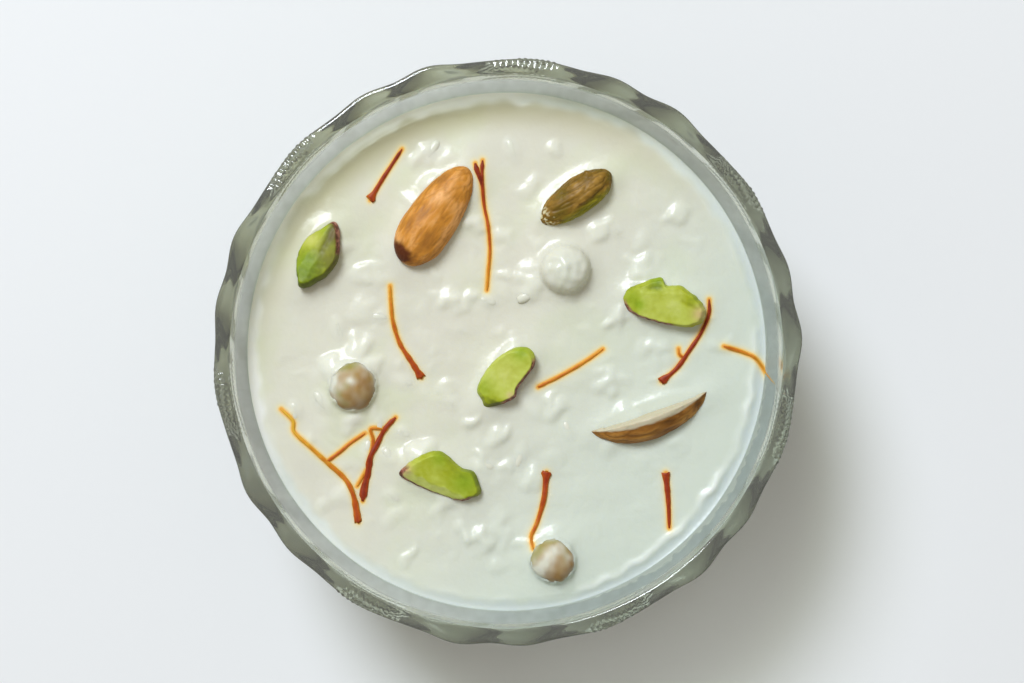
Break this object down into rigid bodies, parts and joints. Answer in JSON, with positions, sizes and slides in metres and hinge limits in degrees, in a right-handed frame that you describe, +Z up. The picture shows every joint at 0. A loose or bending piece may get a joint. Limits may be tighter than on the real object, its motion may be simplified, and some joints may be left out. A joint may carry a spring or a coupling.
{
  "type": "kheer rice pudding",
  "caption": "Kheer, a creamy rice pudding, in a round pressed-glass bowl with swirled flutes, topped with almond, pistachio, raisins and saffron threads.",
  "frame": {"origin": "on the table, under the middle of the bowl's foot", "axes": "+Z up out of the bowl's mouth, +X towards the split almond's side, +Y towards the whole almond and the raisin"},
  "size_m": [0.1176, 0.1172, 0.052],
  "materials": {
    "glass": "clear pressed glass with a faint grey-green tint, fire-polished smooth, with pebbled panels between the flutes",
    "pudding": "off-white thickened milk with cooked rice under a wet, softly glossy skin",
    "almond": "orange-brown wrinkled almond skin, ivory where it is cut",
    "raisin": "green-brown wrinkled raisin skin, moist",
    "plump_raisin": "tan swollen raisin, wet and partly coated with cream",
    "pistachio": "bright yellow-green cut pistachio with a thin purple-brown skin along one side"
  },
  "bodies": {
    "root": {"bowl": "glass", "kheer": "pudding", "almond_whole": "almond", "almond_half": "almond", "raisin": "raisin", "plump_raisin_1": "plump_raisin", "plump_raisin_2": "plump_raisin", "plump_raisin_3": "plump_raisin", "pistachio_1": "pistachio", "pistachio_2": "pistachio", "pistachio_3": "pistachio", "pistachio_4": "pistachio"}
  },
  "joints": []
}
